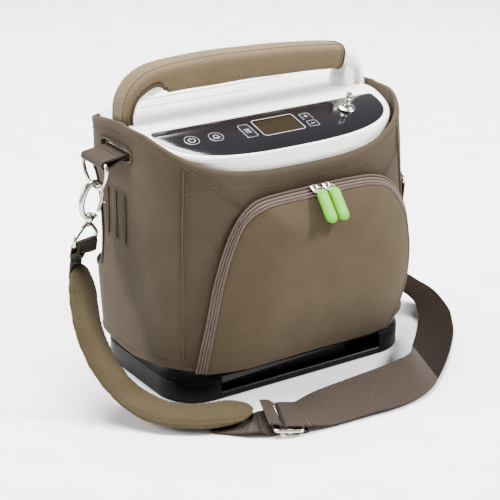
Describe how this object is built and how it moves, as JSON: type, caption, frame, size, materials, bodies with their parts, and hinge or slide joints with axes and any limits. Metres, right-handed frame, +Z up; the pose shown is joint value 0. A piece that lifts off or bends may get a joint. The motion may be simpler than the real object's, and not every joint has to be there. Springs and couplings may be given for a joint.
{
  "type": "oxygen concentrator",
  "caption": "Portable oxygen concentrator in a padded carry case, with a sloping control panel, wrapped carry handle, zipped front pocket and padded shoulder strap.",
  "frame": {"origin": "middle of the base's underside, on the surface that the object stands on", "axes": "+X to the right seen from the front, +Y to the back, +Z up; the front with the pocket faces -Y"},
  "size_m": [0.4064, 0.2548, 0.2837],
  "materials": {
    "neoprene": "woven matt",
    "webbing": "ribbed woven",
    "zipper": "woven tape with a coil",
    "green_rubber": "satin",
    "white_plastic": "gloss",
    "panel_plastic": "gloss",
    "button_plastic": "satin",
    "lcd_glass": "clear over a dark display",
    "nickel": "polished",
    "black_plastic": "satin",
    "grey_plastic": "satin",
    "foam": "open cell foam",
    "aluminium": "satin",
    "circuit_board": "satin",
    "cell_wrap": "satin"
  },
  "bodies": {
    "concentrator": {"base_frame": "black_plastic", "battery_connector": "grey_plastic", "carry_case": "neoprene", "carry_handle": "white_plastic", "chassis_plate": "aluminium", "compressor_crankcase": "aluminium", "compressor_motor": "grey_plastic", "control_board": "circuit_board", "control_panel": "panel_plastic", "cylinder_head_front": "aluminium", "cylinder_head_rear": "aluminium", "exhaust_grille": "black_plastic", "fan_frame": "black_plastic", "front_housing": "white_plastic", "front_pocket": "neoprene", "handle_wrap": "neoprene", "intake_filter": "foam", "intake_grille": "black_plastic", "lcd_display": "lcd_glass", "outlet_barb": "nickel", "pocket_zipper": "zipper", "power_inlet": "grey_plastic", "product_tank": "white_plastic", "rear_housing": "white_plastic", "shoulder_pad": "neoprene", "sieve_bed_left": "aluminium", "sieve_bed_right": "aluminium", "strap_end": "webbing", "strap_link": "webbing", "strap_slider": "nickel", "strap_tab_left": "webbing", "strap_tab_right": "webbing", "strap_webbing": "webbing", "swivel_eye_left": "nickel", "swivel_eye_right": "nickel", "top_cover": "white_plastic", "valve_manifold": "aluminium"},
    "battery": {"battery_case": "black_plastic", "battery_lid": "black_plastic", "cell_pack_left": "cell_wrap", "cell_pack_right": "cell_wrap", "battery_board": "circuit_board"},
    "latch": {"battery_latch": "grey_plastic"},
    "power_key": {"power_button": "button_plastic"},
    "alert_key": {"alert_button": "button_plastic"},
    "menu_key": {"menu_button": "button_plastic"},
    "plus_key": {"plus_button": "button_plastic"},
    "minus_key": {"minus_button": "button_plastic"},
    "zip_left": {"zip_slider_left": "nickel"},
    "zip_right": {"zip_slider_right": "nickel"},
    "pull_left": {"zip_pull_left": "green_rubber"},
    "pull_right": {"zip_pull_right": "green_rubber"},
    "ring_left": {"d_ring_left": "nickel"},
    "ring_right": {"d_ring_right": "nickel"},
    "hook_left": {"snap_hook_left": "nickel"},
    "hook_right": {"snap_hook_right": "nickel"},
    "gate_left": {"hook_gate_left": "nickel"},
    "gate_right": {"hook_gate_right": "nickel"},
    "fan": {"fan_rotor": "grey_plastic"},
    "crank": {"compressor_shaft": "nickel"}
  },
  "joints": [
    {"name": "power_press", "type": "slide", "parent": "concentrator", "child": "power_key", "axis": [0, 0.2601, -0.9656], "range_m": [0, 0.0005], "stiffness_N_per_m": 400, "springref_m": -0.001},
    {"name": "alert_press", "type": "slide", "parent": "concentrator", "child": "alert_key", "axis": [0, 0.2601, -0.9656], "range_m": [0, 0.0005], "stiffness_N_per_m": 400, "springref_m": -0.001},
    {"name": "menu_press", "type": "slide", "parent": "concentrator", "child": "menu_key", "axis": [0, 0.2601, -0.9656], "range_m": [0, 0.0005], "stiffness_N_per_m": 400, "springref_m": -0.001},
    {"name": "plus_press", "type": "slide", "parent": "concentrator", "child": "plus_key", "axis": [0, 0.2601, -0.9656], "range_m": [0, 0.0005], "stiffness_N_per_m": 400, "springref_m": -0.001},
    {"name": "minus_press", "type": "slide", "parent": "concentrator", "child": "minus_key", "axis": [0, 0.2601, -0.9656], "range_m": [0, 0.0005], "stiffness_N_per_m": 400, "springref_m": -0.001},
    {"name": "battery_slide", "type": "slide", "parent": "concentrator", "child": "battery", "axis": [0, 1, 0], "range_m": [0, 0.14]},
    {"name": "latch_press", "type": "slide", "parent": "battery", "child": "latch", "axis": [0, 0, -1], "range_m": [0, 0.002], "stiffness_N_per_m": 300, "springref_m": -0.001},
    {"name": "zip_left_slide", "type": "slide", "parent": "concentrator", "child": "zip_left", "axis": [-1, 0, 0], "range_m": [0, 0.02]},
    {"name": "zip_right_slide", "type": "slide", "parent": "concentrator", "child": "zip_right", "axis": [1, 0, 0], "range_m": [0, 0.02]},
    {"name": "pull_left_swing", "type": "hinge", "parent": "zip_left", "child": "pull_left", "pos_m": [0.002, -0.09647, 0.18601], "axis": [1, 0, 0], "range_deg": [-110, 6]},
    {"name": "ring_left_swing", "type": "hinge", "parent": "concentrator", "child": "ring_left", "pos_m": [-0.153, 0.0145, 0.207], "axis": [0, 1, 0], "range_deg": [-1.5, 1.5]},
    {"name": "hook_left_swivel", "type": "hinge", "parent": "concentrator", "child": "hook_left", "pos_m": [-0.1612, 0.0145, 0.1535], "axis": [0.229, 0, 0.9734], "range_deg": [-8, 8]},
    {"name": "gate_left_swing", "type": "hinge", "parent": "hook_left", "child": "gate_left", "pos_m": [-0.15143, 0.0145, 0.16096], "axis": [0, -1, 0], "range_deg": [0, 25], "stiffness_Nm_per_rad": 0.02, "springref_deg": -17.19},
    {"name": "pull_right_swing", "type": "hinge", "parent": "zip_right", "child": "pull_right", "pos_m": [0.0145, -0.09646, 0.18601], "axis": [1, 0, 0], "range_deg": [-110, 6]},
    {"name": "ring_right_swing", "type": "hinge", "parent": "concentrator", "child": "ring_right", "pos_m": [0.153, 0.0145, 0.207], "axis": [0, 1, 0], "range_deg": [-1.5, 1.5]},
    {"name": "hook_right_swivel", "type": "hinge", "parent": "concentrator", "child": "hook_right", "pos_m": [0.1612, 0.0145, 0.1535], "axis": [-0.229, 0, 0.9734], "range_deg": [-8, 8]},
    {"name": "gate_right_swing", "type": "hinge", "parent": "hook_right", "child": "gate_right", "pos_m": [0.15143, 0.0145, 0.16096], "axis": [0, 1, 0], "range_deg": [0, 25], "stiffness_Nm_per_rad": 0.02, "springref_deg": -17.19},
    {"name": "fan_spin", "type": "hinge", "parent": "concentrator", "child": "fan", "pos_m": [0.1145, 0.015, 0.152], "axis": [1, 0, 0], "continuous": true},
    {"name": "crank_spin", "type": "hinge", "parent": "concentrator", "child": "crank", "pos_m": [0, -0.003, 0.078], "axis": [1, 0, 0], "continuous": true}
  ]
}
